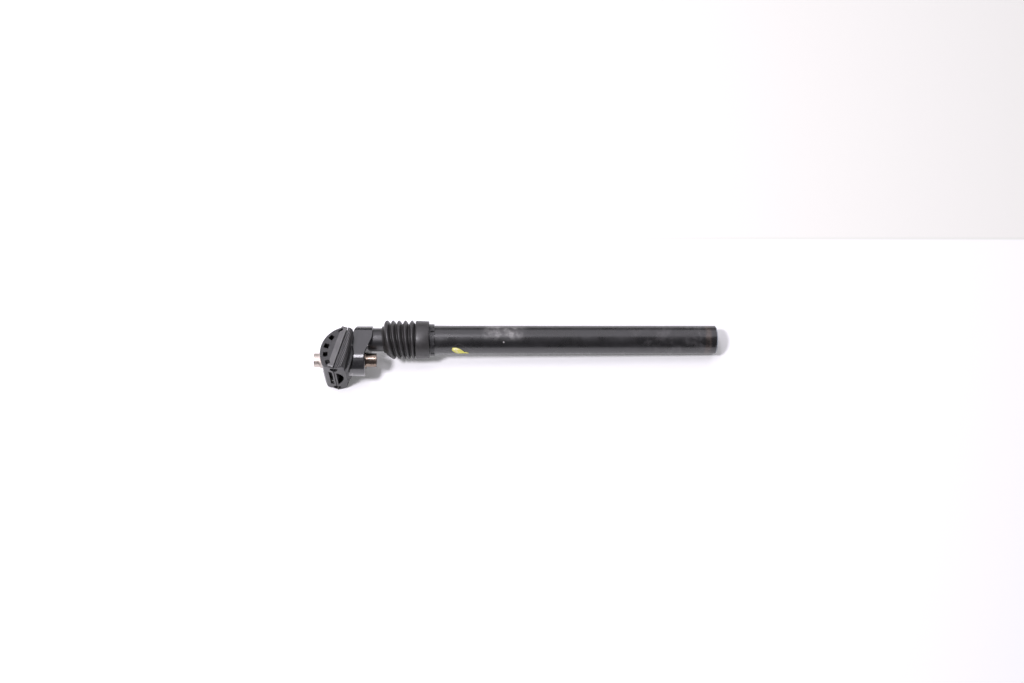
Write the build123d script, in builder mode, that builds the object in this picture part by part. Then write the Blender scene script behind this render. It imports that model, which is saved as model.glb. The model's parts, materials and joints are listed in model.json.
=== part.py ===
"""Telescoping bicycle seatpost, lying on its side.

The post stands on three points: the side of its saddle clamp and the rim of its tube.
Sketches use the post's own directions: along the tube towards the head, rearwards, and sideways.
All sizes are in millimetres.
"""
import math
import os

from build123d import *

# Outer tube, turned down at its upper end for the collar nut's thread
tube_d = 27.2
tube_wall = 1.5
tube_length = 282.0
tube_chamfer = 1.0
thread_step = 0.3
thread_relief = 0.6

# Inner shaft and its travel
guide_wall = 1.0
shaft_wall = 2.2
shaft_foot = 130.0
travel = 18.0

# Guides between shaft and tube
running_clearance = 0.06
seat_clearance = 0.03
bushing_length = 50.0
bushing_flange = 1.2
bushing_flange_inset = 0.2
guide_length = 20.0
key_count = 4
key_width = 3.0
key_length = 16.0
key_inset = 8.0
key_depth = 0.95
key_clearance = 0.1

# Collar nut and wiper
nut_wall = 1.4
nut_ring_height = 5.0
nut_sleeve = 13.0
nut_cap = 2.6
nut_play = 0.2
notch_pairs = 4
notch_spread = 15.0
notch_width = 1.6
notch_depth = 1.2
notch_height = 3.6
wiper_wall = 1.1

# Rubber boot
cuff_wall = 2.2
cuff_height = 13.0
fold_count = 5
fold_depth = 4.0
fold_clearance = 1.9
fold_height = 29.0
fold_wall = 1.5
boot_lip_wall = 1.6
boot_lip_height = 1.6
boot_grip = 0.1

# Spring, its seats and the preload plug
plug_recess = 2.0
plug_length = 15.0
plug_socket = 8.0
plug_socket_depth = 9.0
seat_thickness = 4.0
seat_lip = 1.2
wire_d = 3.0
spring_turns = 11
spring_play = 0.1
spring_side_play = 1.2
core_play = 0.3
core_side_play = 1.2
cap_flange = 4.0
cap_spigot = 14.0

# Forged head, which stands clear of the boot by the head gap
head_gap = 9.4
setback = 21.0
boss_wall = 2.1
barrel_d = 30.0
underside_flat = 2.5
underside_tilt = 22.8
underside_step = 7.0
underside_bend_r = 16.0
underside_round = 1.2
shoulder_rise = 13.0
shoulder_bulge = 2.8
socket_depth = 12.4
bolt_wall = 9.2
pocket_play = 0.2

# Saddle clamp: the cradle's round underside turns about the tilt centre
tilt_rise = 41.9
tilt_range = 8.0
seat_r = 24.1
seat_play = 0.4
seat_front_angle = 20.0
seat_rear_angle = 40.0
tooth_pitch = 4.0
tooth_depth = 0.8
rail_tilt = 16.7
rail_drop = 12.3
rail_d = 7.0
rail_spacing = 43.0
parting_gap = 0.8
clamp_front = 27.0
clamp_rear = 16.4
head_side_gap = 0.5

# Lower clamp
cradle_width = 53.6
cradle_front_depth = 4.6
cradle_belly = (-6.0, -8.0)
cradle_rear_angle = 30.0
cradle_round = 4.0
cradle_window = (28.0, 5.4)
cradle_window_rim = 1.7
cradle_window_depth = 9.0

# Upper clamp
lip_width = 55.0
lip_corner = 2.4
lip_height = 5.2
arch_width = 51.0
arch_front = (-25.5, 5.4)
arch_crown = (-2.0, 18.0)
arch_rear_height = 9.5
arch_wall = 2.5
boss_width = 19.0
cavity_width = 8.0
crown_r = 5.6
crown_play = 0.3
channel_play = 0.8
channel_floor = 12.0
window_width = 4.6
window_stations = (-22.1, -13.1, -3.8, 4.6, 11.4)
window_drops = (2.85, 4.2, 4.9, 5.1, 5.4)
window_heights = (2.2, 4.2, 4.6, 4.4, 4.2)
rear_window = (30.0, 3.6)
rear_window_rim = 1.6

# Clamp bolt, washers and nut
bolt_d = 8.0
bolt_head_d = 13.0
bolt_head_height = 9.6
bolt_socket = 6.0
bolt_socket_depth = 4.5
bolt_clearance = 0.3
slot_clearance = 0.6
bolt_washer_d = 16.0
bolt_washer_height = 2.0
saddle_washer_size = (10.0, 15.0)
saddle_washer_height = 2.0
clamp_nut_d = 13.0
clamp_nut_height = 5.4
thread_clearance = 0.05

# How far a cutting sketch reaches past what it cuts
cut_margin = 1.0

# Radii that follow from the sizes above
tube_r = tube_d / 2
thread_r = tube_r - thread_step
bore_r = tube_r - tube_wall
shaft_r = bore_r - guide_wall
nut_ring_r = tube_r + nut_wall
cuff_r = nut_ring_r + boot_grip + cuff_wall
fold_root_r = shaft_r + fold_clearance + fold_wall
fold_r = fold_root_r + fold_depth
boot_lip_r = shaft_r + boot_grip + boot_lip_wall
spring_r = bore_r - seat_lip - spring_side_play - wire_d / 2
core_r = spring_r - wire_d / 2 - core_side_play
boss_r = shaft_r + boss_wall
barrel_r = barrel_d / 2
head_seat_r = seat_r + seat_play
bolt_r = bolt_d / 2
pocket_r = bolt_washer_d / 2 + pocket_play

# Heights along the post that follow from the sizes above
nut_bottom = tube_length - nut_sleeve
bushing_top = tube_length + bushing_flange
nut_ceiling = bushing_top + nut_play
nut_top = nut_ceiling + nut_cap
cuff_bottom = nut_bottom + nut_ring_height
cuff_top = cuff_bottom + cuff_height
folds_top = cuff_top + fold_height
boot_top = folds_top + boot_lip_height
key_top = tube_length - key_inset
key_bottom = key_top - key_length
plug_top = plug_recess + plug_length
spring_bottom = plug_top + seat_thickness
spring_top = shaft_foot - cap_flange
underside_height = boot_top + head_gap
tilt_height = underside_height + tilt_rise
socket_top = underside_height + socket_depth
bolt_face = tilt_height - head_seat_r - bolt_wall
washer_bottom = bolt_face - bolt_washer_height
crown_top = tilt_height + crown_r + crown_play
saddle_washer_top = crown_top + saddle_washer_height
clamp_nut_top = saddle_washer_top + clamp_nut_height
half_gap = parting_gap / 2
slope = math.tan(math.radians(underside_tilt))

# Lying attitude: the clamp's side edge and the tube's rim both touch the ground
tilt = math.radians(rail_tilt)
rail_foot_along = tilt_height - rail_drop * math.cos(tilt)
rail_foot_back = setback + rail_drop * math.sin(tilt)
edge_reach = rail_foot_along * math.cos(tilt) - rail_foot_back * math.sin(tilt) + half_gap
lean = math.atan2(lip_width / 2, edge_reach) - math.asin(tube_r / math.hypot(edge_reach, lip_width / 2))
rise = math.sin(lean) * math.cos(tilt)
dip = -math.sin(lean) * math.sin(tilt)
run = math.sqrt(1 - rise**2)

# Working planes: POST lies across the tube, SIDE cuts it lengthwise, CLAMP follows the saddle rails
towards_head = Vector(-run, 0, rise)
towards_rear = Vector(rise * dip / run, -math.sqrt(1 - (dip / run) ** 2), dip)
POST = Plane(origin=(0, 0, 0), x_dir=towards_rear, z_dir=towards_head)
SIDE = Plane(origin=(0, 0, 0), x_dir=towards_rear, z_dir=-POST.y_dir)
RAILS = towards_rear * math.cos(tilt) + towards_head * math.sin(tilt)
CLAMP = Plane(origin=SIDE.from_local_coords((rail_foot_back, rail_foot_along, 0)), x_dir=RAILS, z_dir=SIDE.z_dir)
LIP = Plane(origin=CLAMP.from_local_coords((0, half_gap, 0)), x_dir=RAILS, z_dir=CLAMP.y_dir)
CLAMP_END = Plane(origin=CLAMP.from_local_coords((clamp_rear, 0, 0)), x_dir=-CLAMP.z_dir, z_dir=CLAMP.x_dir)
POST_AXIS = Axis((0, 0, 0), towards_head)


def seat_point(radius, angle):
    """Point of a circle about the tilt centre, as (rearwards, along), with the angle from straight down."""
    turn = math.radians(angle)
    return (setback + radius * math.sin(turn), tilt_height - radius * math.cos(turn))


def seat_teeth(radius, first, last):
    """Row of V grooves round the tilt centre, between two angles from straight down."""
    count = int((last - first) / tooth_pitch)
    start = (first + last - count * tooth_pitch) / 2 + tooth_pitch / 2 - 90
    with PolarLocations(radius, count, start_angle=start, angular_range=count * tooth_pitch):
        Rectangle(tooth_depth * math.sqrt(2), tooth_depth * math.sqrt(2), rotation=45)


def underside_below(edge):
    """Whether an edge of the head lies round its underside, and not across it."""
    middle = SIDE.to_local_coords(edge @ 0.5)
    level = underside_height + min(max(middle.X - underside_flat, 0) * slope, underside_step)
    across = abs((edge % 0.5).dot(SIDE.z_dir)) > 0.999 and abs(middle.Z) < underside_round
    return middle.Y < level + underside_round and not across


def circle_through(first, middle, last):
    """Centre and radius of the circle through three points."""
    arc = ThreePointArc(first, middle, last, mode=Mode.PRIVATE)
    return arc.arc_center, arc.radius


arch_rear = (clamp_rear, arch_rear_height)
arch_centre, arch_r = circle_through(arch_front, arch_crown, arch_rear)


def arch_height(station, drop):
    """Height above the rails of a curve that runs inside the upper clamp's arch by the drop."""
    return arch_centre.Y + math.sqrt((arch_r - drop) ** 2 - (station - arch_centre.X) ** 2)


def arch_angle(station):
    """Slope of the upper clamp's arch at a station along the rails, in degrees."""
    return -math.degrees(math.asin((station - arch_centre.X) / arch_r))


# Outer tube, with a chamfered lower end and a stepped upper end under the nut
with BuildPart() as outer_tube:
    with BuildSketch(POST.offset(-tube_chamfer)):
        Circle(tube_r)
        Circle(bore_r, mode=Mode.SUBTRACT)
    extrude(amount=nut_bottom - thread_relief + tube_chamfer)
    with BuildSketch(POST.offset(nut_bottom - thread_relief)):
        Circle(thread_r)
        Circle(bore_r, mode=Mode.SUBTRACT)
    extrude(amount=nut_sleeve + thread_relief)
    rims = outer_tube.edges().filter_by(GeomType.CIRCLE).group_by(Axis((0, 0, 0), towards_head))
    chamfer(rims[0].sort_by(SortBy.LENGTH)[-1], tube_chamfer)

# Collar nut: a notched ring, a sleeve over the tube's end and a cap that holds the bush and the wiper
with BuildPart() as collar_nut:
    with BuildSketch(SIDE):
        with BuildLine():
            Polyline(
                (thread_r + seat_clearance, nut_bottom),
                (nut_ring_r, nut_bottom),
                (nut_ring_r, nut_top),
                (shaft_r + wiper_wall + seat_clearance, nut_top),
                (shaft_r + wiper_wall + seat_clearance, nut_ceiling),
                (thread_r + seat_clearance, nut_ceiling),
                close=True,
            )
        make_face()
    revolve(axis=POST_AXIS)
    with BuildSketch(POST.offset(nut_bottom)):
        for half_turn in (-notch_spread / 2, notch_spread / 2):
            with PolarLocations(nut_ring_r, notch_pairs, start_angle=half_turn):
                Rectangle(2 * notch_depth, notch_width)
    extrude(amount=notch_height, mode=Mode.SUBTRACT)

# Wiper seal in the collar nut's cap
with BuildPart() as wiper_seal:
    with BuildSketch(POST.offset(nut_ceiling)):
        Circle(shaft_r + wiper_wall)
        Circle(shaft_r + running_clearance, mode=Mode.SUBTRACT)
    extrude(amount=nut_cap)

# Upper bush: hangs in the tube by its flange, with slots for the keys
with BuildPart() as upper_bushing:
    with BuildSketch(POST.offset(tube_length - bushing_length)):
        Circle(bore_r - seat_clearance)
        Circle(shaft_r + running_clearance, mode=Mode.SUBTRACT)
    extrude(amount=bushing_length)
    with BuildSketch(POST.offset(tube_length)):
        Circle(thread_r - bushing_flange_inset)
        Circle(shaft_r + running_clearance, mode=Mode.SUBTRACT)
    extrude(amount=bushing_flange)
    with BuildSketch(POST.offset(key_bottom)):
        with PolarLocations(bore_r, key_count):
            Rectangle(2 * tube_wall, key_width + 2 * seat_clearance)
    extrude(amount=key_length, mode=Mode.SUBTRACT)

# Keys: flat bars in the bush that run in the shaft's grooves, against turning
key_inner_r = shaft_r - key_depth
key_outer_r = bore_r - key_clearance
with BuildPart() as guide_keys:
    with BuildSketch(POST.offset(key_bottom)):
        with PolarLocations((key_inner_r + key_outer_r) / 2, key_count):
            Rectangle(key_outer_r - key_inner_r, key_width)
    extrude(amount=key_length)

# Inner shaft, with one groove for each key, as long as the key and the travel
with BuildPart() as inner_shaft:
    with BuildSketch(POST.offset(shaft_foot)):
        Circle(shaft_r)
        Circle(shaft_r - shaft_wall, mode=Mode.SUBTRACT)
    extrude(amount=socket_top - shaft_foot)
    with BuildSketch(POST.offset(key_bottom - key_clearance)):
        with PolarLocations(shaft_r, key_count):
            Rectangle(2 * (key_depth + key_clearance), key_width + 2 * key_clearance)
    extrude(amount=key_length + travel + 2 * key_clearance, mode=Mode.SUBTRACT)

# Lower guide: a bush pressed on the shaft's lower end, which slides in the tube
with BuildPart() as lower_guide:
    with BuildSketch(POST.offset(shaft_foot)):
        Circle(bore_r - running_clearance)
        Circle(shaft_r + seat_clearance, mode=Mode.SUBTRACT)
    extrude(amount=guide_length)

# Spring cap: closes the shaft's lower end and takes the spring
with BuildPart() as spring_cap:
    with BuildSketch(POST.offset(spring_top)):
        Circle(shaft_r)
    extrude(amount=cap_flange)
    with BuildSketch(POST.offset(shaft_foot)):
        Circle(shaft_r - shaft_wall - seat_clearance)
    extrude(amount=cap_spigot)

# Preload plug in the tube's lower end, turned with a hexagon key
with BuildPart() as preload_plug:
    with BuildSketch(POST.offset(plug_recess)):
        Circle(bore_r - seat_clearance)
    extrude(amount=plug_length)
    with BuildSketch(POST.offset(plug_recess)):
        RegularPolygon(plug_socket / 2, 6, major_radius=False)
    extrude(amount=plug_socket_depth, mode=Mode.SUBTRACT)

# Spring seat: a disc with a lip round the rubber core
with BuildPart() as spring_seat:
    with BuildSketch(POST.offset(plug_top)):
        Circle(bore_r - running_clearance)
    extrude(amount=seat_thickness)
    with BuildSketch(POST.offset(spring_bottom)):
        Circle(bore_r - running_clearance)
        Circle(bore_r - seat_lip, mode=Mode.SUBTRACT)
    extrude(amount=wire_d)

# Main spring between the seat and the cap
coil_bottom = spring_bottom + wire_d / 2 + spring_play
coil_height = spring_top - spring_bottom - wire_d - 2 * spring_play
coil_foot = POST.from_local_coords((0, 0, coil_bottom))
with BuildPart() as main_spring:
    with BuildLine() as coil:
        Helix(coil_height / spring_turns, coil_height, spring_r, coil_foot, towards_head)
    with BuildSketch(Plane(origin=coil.line @ 0, z_dir=coil.line % 0)):
        Circle(wire_d / 2)
    sweep(is_frenet=True)

# Rubber core inside the spring: takes the last of the travel
with BuildPart() as elastomer_core:
    with BuildSketch(POST.offset(spring_bottom)):
        Circle(core_r)
    extrude(amount=spring_top - travel - core_play - spring_bottom)

# Rubber boot: a cuff over the nut, folds, and a lip that grips the shaft
fold_pitch = fold_height / fold_count
outer_wall = [(cuff_r, cuff_bottom), (cuff_r, cuff_top)]
inner_wall = [(nut_ring_r + boot_grip, cuff_bottom), (nut_ring_r + boot_grip, nut_top + boot_grip)]
for fold in range(fold_count):
    fold_start = cuff_top + fold * fold_pitch
    crest = fold_start + fold_pitch / 2
    outer_wall += [(fold_root_r, fold_start), (fold_r, crest)]
    inner_wall += [(fold_root_r - fold_wall, fold_start), (fold_r - fold_wall, crest)]
inner_wall += [
    (fold_root_r - fold_wall, folds_top - fold_wall),
    (shaft_r + boot_grip, folds_top - fold_wall),
    (shaft_r + boot_grip, boot_top),
]
outer_wall += [(boot_lip_r, folds_top), (boot_lip_r, boot_top)]
with BuildPart() as boot:
    with BuildSketch(SIDE):
        with BuildLine():
            Polyline(*outer_wall, *reversed(inner_wall), close=True)
        make_face()
    revolve(axis=POST_AXIS)

# Forged head: the plan joins boss and barrel, the side profile gives the underside, the seat and the shoulder
front = -boss_r - cut_margin
rear = setback + barrel_d
shoulder = (front, underside_height + shoulder_rise)
underside_bend = (underside_flat, underside_height)
underside_heel = (underside_flat + underside_step / slope, underside_height + underside_step)
seat_tip_front = seat_point(head_seat_r, -seat_front_angle)
seat_floor = seat_point(head_seat_r, 0)
seat_tip_rear = seat_point(head_seat_r, seat_rear_angle)
with BuildPart() as head:
    with BuildSketch(POST.offset(underside_height)):
        Circle(boss_r)
        with Locations((setback, 0)):
            Circle(barrel_r)
        make_hull()
    extrude(amount=seat_tip_rear[1] - underside_height + seat_play)
    with BuildSketch(SIDE) as head_profile:
        with BuildLine():
            Polyline(
                shoulder,
                (front, underside_height),
                underside_bend,
                underside_heel,
                (rear, underside_heel[1]),
                (rear, seat_tip_rear[1]),
                seat_tip_rear,
            )
            ThreePointArc(seat_tip_rear, seat_floor, seat_tip_front)
            SagittaArc(seat_tip_front, shoulder, -shoulder_bulge)
        make_face()
        for bend in (underside_bend, underside_heel):
            fillet(head_profile.vertices().sort_by_distance(bend)[0], underside_bend_r)
    extrude(amount=barrel_d, both=True, mode=Mode.INTERSECT)
    rim = [edge for edge in head.edges() if underside_below(edge)]
    fillet(rim, underside_round)
    with BuildSketch(SIDE):
        with Locations((setback, tilt_height)):
            seat_teeth(head_seat_r, -seat_front_angle, seat_rear_angle)
    extrude(amount=barrel_d, both=True, mode=Mode.SUBTRACT)
    with BuildSketch(POST.offset(socket_top)):
        Circle(shaft_r + seat_clearance)
    extrude(amount=-socket_top + shaft_foot, mode=Mode.SUBTRACT)
    with BuildSketch(POST.offset(bolt_face)):
        with Locations((setback, 0)):
            Circle(pocket_r)
    extrude(amount=underside_height - bolt_face, mode=Mode.SUBTRACT)
    with BuildSketch(POST.offset(washer_bottom)):
        with Locations((setback, 0)):
            Circle(bolt_r + bolt_clearance)
    extrude(amount=tilt_height - washer_bottom, mode=Mode.SUBTRACT)

# Slot that lets the clamp tilt about the bolt, widest away from the tilt centre
slot_below = tilt_height - seat_r - cut_margin
slot_above = clamp_nut_top
slot_waist = bolt_r + slot_clearance
slot_spread = math.tan(math.radians(tilt_range))
slot_foot = slot_waist + (tilt_height - slot_below) * slot_spread
slot_head = slot_waist + (slot_above - tilt_height) * slot_spread
with BuildSketch(SIDE) as bolt_slot:
    with BuildLine():
        Polyline(
            (setback - slot_foot, slot_below),
            (setback + slot_foot, slot_below),
            (setback + slot_waist, tilt_height),
            (setback + slot_head, slot_above),
            (setback - slot_head, slot_above),
            (setback - slot_waist, tilt_height),
            close=True,
        )
    make_face()

# Lower clamp: a round middle that turns in the head, and two cheeks that carry the rails
middle_half = barrel_r + head_side_gap
middle_top = -half_gap
middle_front = (-math.sqrt(seat_r**2 - (rail_drop + half_gap) ** 2), middle_top)
rear_turn = math.radians(cradle_rear_angle)
rear_seam = (seat_r * math.sin(rear_turn), rail_drop - seat_r * math.cos(rear_turn))
tooth_first = rail_tilt - math.degrees(math.acos((rail_drop + half_gap) / seat_r)) + tooth_pitch
tooth_last = rail_tilt + cradle_rear_angle - tooth_pitch / 2
with BuildPart() as lower_clamp:
    with BuildSketch(CLAMP):
        with BuildLine():
            ThreePointArc(middle_front, (0, rail_drop - seat_r), rear_seam)
            Polyline(rear_seam, (clamp_rear, middle_top), middle_front)
        make_face()
    extrude(amount=middle_half, both=True)
    with BuildSketch(SIDE):
        with Locations((setback, tilt_height)):
            seat_teeth(seat_r, tooth_first, tooth_last)
    extrude(amount=middle_half, both=True, mode=Mode.SUBTRACT)
    for cheek_plane, outwards in ((CLAMP.offset(middle_half), 1), (CLAMP.offset(-middle_half), -1)):
        with BuildSketch(cheek_plane):
            with BuildLine():
                Polyline(
                    rear_seam,
                    (clamp_rear, middle_top),
                    (-clamp_front, middle_top),
                    (-clamp_front, -cradle_front_depth),
                )
                ThreePointArc((-clamp_front, -cradle_front_depth), cradle_belly, rear_seam)
            make_face()
        extrude(amount=outwards * (cradle_width / 2 - middle_half))
    bellies = lower_clamp.edges().filter_by(GeomType.CIRCLE).group_by(Axis((0, 0, 0), CLAMP.z_dir))
    fillet([bellies[0][0], bellies[-1][0]], cradle_round)
    with BuildSketch(CLAMP_END):
        with Locations((-rail_spacing / 2, 0), (rail_spacing / 2, 0)):
            Circle(rail_d / 2)
    extrude(amount=-clamp_front - clamp_rear, mode=Mode.SUBTRACT)
    with BuildSketch(CLAMP_END):
        with BuildLine():
            Line((-cradle_window[0] / 2, -cradle_window_rim), (cradle_window[0] / 2, -cradle_window_rim))
            ThreePointArc(
                (cradle_window[0] / 2, -cradle_window_rim),
                (0, -cradle_window_rim - cradle_window[1]),
                (-cradle_window[0] / 2, -cradle_window_rim),
            )
        make_face()
    extrude(amount=-cradle_window_depth, mode=Mode.SUBTRACT)
    extrude(bolt_slot.sketch, amount=slot_waist, both=True, mode=Mode.SUBTRACT)

# Upper clamp: a lip over the rails, an arched cap with windows, and a round crown for the saddle washer
with BuildPart() as upper_clamp:
    with BuildSketch(LIP):
        with Locations(((clamp_rear - clamp_front) / 2, 0)):
            RectangleRounded(clamp_front + clamp_rear, lip_width, lip_corner)
    extrude(amount=lip_height)
    with BuildSketch(CLAMP):
        with BuildLine():
            Polyline(arch_front, (arch_front[0], half_gap), (clamp_rear, half_gap), arch_rear)
            ThreePointArc(arch_rear, arch_crown, arch_front)
        make_face()
    extrude(amount=arch_width / 2, both=True)
    cavity_front = window_stations[0] - window_width / 2
    cavity_rear = clamp_rear - arch_wall
    cavity_middle = arch_crown[0]
    for side in (-1, 1):
        with BuildSketch(CLAMP.offset(side * boss_width / 2)):
            with BuildLine():
                Polyline(
                    (cavity_front, arch_height(cavity_front, arch_wall)),
                    (cavity_front, half_gap),
                    (cavity_rear, half_gap),
                    (cavity_rear, arch_height(cavity_rear, arch_wall)),
                )
                ThreePointArc(
                    (cavity_rear, arch_height(cavity_rear, arch_wall)),
                    (cavity_middle, arch_height(cavity_middle, arch_wall)),
                    (cavity_front, arch_height(cavity_front, arch_wall)),
                )
            make_face()
        extrude(amount=side * cavity_width, mode=Mode.SUBTRACT)
    with BuildSketch(CLAMP_END):
        with Locations((-rail_spacing / 2, 0), (rail_spacing / 2, 0)):
            Circle(rail_d / 2)
    extrude(amount=-clamp_front - clamp_rear, mode=Mode.SUBTRACT)
    for side in (-1, 1):
        with BuildSketch(CLAMP.offset(side * (boss_width / 2 + cavity_width / 2))):
            for station, drop, height in zip(window_stations, window_drops, window_heights):
                with Locations((station, arch_height(station, drop))):
                    Rectangle(window_width, height, rotation=arch_angle(station))
        extrude(amount=side * lip_width / 2, mode=Mode.SUBTRACT)
    with BuildSketch(CLAMP_END):
        with Locations((0, half_gap + rear_window_rim + rear_window[1] / 2)):
            RectangleRounded(*rear_window, rear_window[1] / 4)
    extrude(amount=-2 * arch_wall, mode=Mode.SUBTRACT)
    with BuildSketch(CLAMP):
        with Locations(((clamp_rear - clamp_front) / 2, channel_floor + crown_r)):
            Rectangle(2 * (clamp_front + clamp_rear), 2 * crown_r)
        with Locations((0, rail_drop)):
            Circle(crown_r, mode=Mode.SUBTRACT)
    extrude(amount=saddle_washer_size[1] / 2 + channel_play, both=True, mode=Mode.SUBTRACT)
    extrude(bolt_slot.sketch, amount=slot_waist, both=True, mode=Mode.SUBTRACT)

# Clamp bolt with a hexagon socket
with BuildPart() as clamp_bolt:
    with BuildSketch(POST.offset(washer_bottom)):
        with Locations((setback, 0)):
            Circle(bolt_head_d / 2)
    extrude(amount=-bolt_head_height)
    with BuildSketch(POST.offset(washer_bottom)):
        with Locations((setback, 0)):
            Circle(bolt_r)
    extrude(amount=clamp_nut_top - washer_bottom)
    with BuildSketch(POST.offset(washer_bottom - bolt_head_height)):
        with Locations((setback, 0)):
            RegularPolygon(bolt_socket / 2, 6, major_radius=False)
    extrude(amount=bolt_socket_depth, mode=Mode.SUBTRACT)

# Plain washer under the bolt's head
with BuildPart() as bolt_washer:
    with BuildSketch(POST.offset(washer_bottom)):
        with Locations((setback, 0)):
            Circle(bolt_washer_d / 2)
            Circle(bolt_r + bolt_clearance, mode=Mode.SUBTRACT)
    extrude(amount=bolt_washer_height)

# Saddle washer: flat on top for the nut, hollowed below for the clamp's crown
washer_half = saddle_washer_size[0] / 2
washer_hollow_r = crown_r + crown_play
washer_drop = washer_hollow_r - math.sqrt(washer_hollow_r**2 - washer_half**2)
with BuildPart() as saddle_washer:
    with BuildSketch(SIDE):
        with BuildLine():
            Polyline(
                (setback - washer_half, crown_top - washer_drop),
                (setback - washer_half, saddle_washer_top),
                (setback + washer_half, saddle_washer_top),
                (setback + washer_half, crown_top - washer_drop),
            )
            ThreePointArc(
                (setback + washer_half, crown_top - washer_drop),
                (setback, crown_top),
                (setback - washer_half, crown_top - washer_drop),
            )
        make_face()
    extrude(amount=saddle_washer_size[1] / 2, both=True)
    with BuildSketch(POST.offset(saddle_washer_top)):
        with Locations((setback, 0)):
            Circle(bolt_r + bolt_clearance)
    extrude(amount=-saddle_washer_height - washer_drop, mode=Mode.SUBTRACT)

# Round nut on the bolt's end
with BuildPart() as clamp_nut:
    with BuildSketch(POST.offset(saddle_washer_top)):
        with Locations((setback, 0)):
            Circle(clamp_nut_d / 2)
            Circle(bolt_r + thread_clearance, mode=Mode.SUBTRACT)
    extrude(amount=clamp_nut_height)

pieces = {
    "outer_tube": outer_tube,
    "collar_nut": collar_nut,
    "wiper_seal": wiper_seal,
    "upper_bushing": upper_bushing,
    "guide_keys": guide_keys,
    "preload_plug": preload_plug,
    "spring_seat": spring_seat,
    "main_spring": main_spring,
    "elastomer_core": elastomer_core,
    "boot": boot,
    "inner_shaft": inner_shaft,
    "lower_guide": lower_guide,
    "spring_cap": spring_cap,
    "head": head,
    "clamp_bolt": clamp_bolt,
    "bolt_washer": bolt_washer,
    "saddle_washer": saddle_washer,
    "clamp_nut": clamp_nut,
    "lower_clamp": lower_clamp,
    "upper_clamp": upper_clamp,
}
os.makedirs("parts", exist_ok=True)
for name, piece in pieces.items():
    piece.part.label = name
    export_step(piece.part, f"parts/{name}.step")
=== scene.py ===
"""Looks of a telescoping bicycle seatpost that lies on its side on a pale floor.

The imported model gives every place. Pieces are shaped in the post's own coordinates, rearwards, sideways
and along the tube towards the head, and then turned into the frame. Names that end in _mm are millimetres.
"""

from __future__ import annotations

import json
import logging
import math
from dataclasses import dataclass
from enum import Enum

import bmesh
import bpy
from mathutils import Matrix, Vector
from mathutils.bvhtree import BVHTree

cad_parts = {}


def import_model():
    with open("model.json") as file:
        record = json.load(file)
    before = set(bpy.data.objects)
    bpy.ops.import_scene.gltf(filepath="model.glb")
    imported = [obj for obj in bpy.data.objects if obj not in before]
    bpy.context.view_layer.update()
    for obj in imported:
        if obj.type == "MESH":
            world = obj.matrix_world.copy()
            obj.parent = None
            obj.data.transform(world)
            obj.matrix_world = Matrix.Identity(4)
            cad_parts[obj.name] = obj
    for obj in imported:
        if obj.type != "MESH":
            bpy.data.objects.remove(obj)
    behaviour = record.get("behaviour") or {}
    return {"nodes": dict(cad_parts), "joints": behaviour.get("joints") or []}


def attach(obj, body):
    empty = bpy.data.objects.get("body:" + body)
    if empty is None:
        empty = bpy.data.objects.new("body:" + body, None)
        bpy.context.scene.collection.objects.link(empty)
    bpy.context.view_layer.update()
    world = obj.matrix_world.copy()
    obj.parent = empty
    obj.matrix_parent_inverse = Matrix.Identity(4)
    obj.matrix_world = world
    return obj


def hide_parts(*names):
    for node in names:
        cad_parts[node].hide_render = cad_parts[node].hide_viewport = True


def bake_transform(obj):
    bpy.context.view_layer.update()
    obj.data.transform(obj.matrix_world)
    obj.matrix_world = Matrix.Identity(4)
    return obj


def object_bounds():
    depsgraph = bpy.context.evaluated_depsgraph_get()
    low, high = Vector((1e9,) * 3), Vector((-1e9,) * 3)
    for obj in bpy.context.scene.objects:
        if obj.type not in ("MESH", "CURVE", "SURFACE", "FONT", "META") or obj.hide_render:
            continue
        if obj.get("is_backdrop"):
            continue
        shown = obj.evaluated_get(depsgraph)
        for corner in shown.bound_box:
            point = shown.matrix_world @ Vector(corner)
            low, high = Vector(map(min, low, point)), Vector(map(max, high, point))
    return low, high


LOG = logging.getLogger("seatpost")
MM = 0.001
MERGE_M = 1e-6  # points closer than this are one point
HUMP_CORE = 0.35  # share of a hump's half width over which it stays at one
SPOT_CORE = 0.4  # share of a spot's radius over which it stays at one

Pair = tuple[float, float]
Place = tuple[float, float, float]
Colour = tuple[float, float, float]
Socket = bpy.types.NodeSocket
Value = Socket | float | tuple


class Body(Enum):
    """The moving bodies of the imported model."""

    TUBE = "tube"
    SHAFT = "shaft"
    CLAMP = "clamp"


class Slot(Enum):
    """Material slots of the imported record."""

    BOOT = "boot_rubber"
    CLAMP = "clamp_black"
    STEEL = "steel"
    TUBE = "tube_black"


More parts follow.
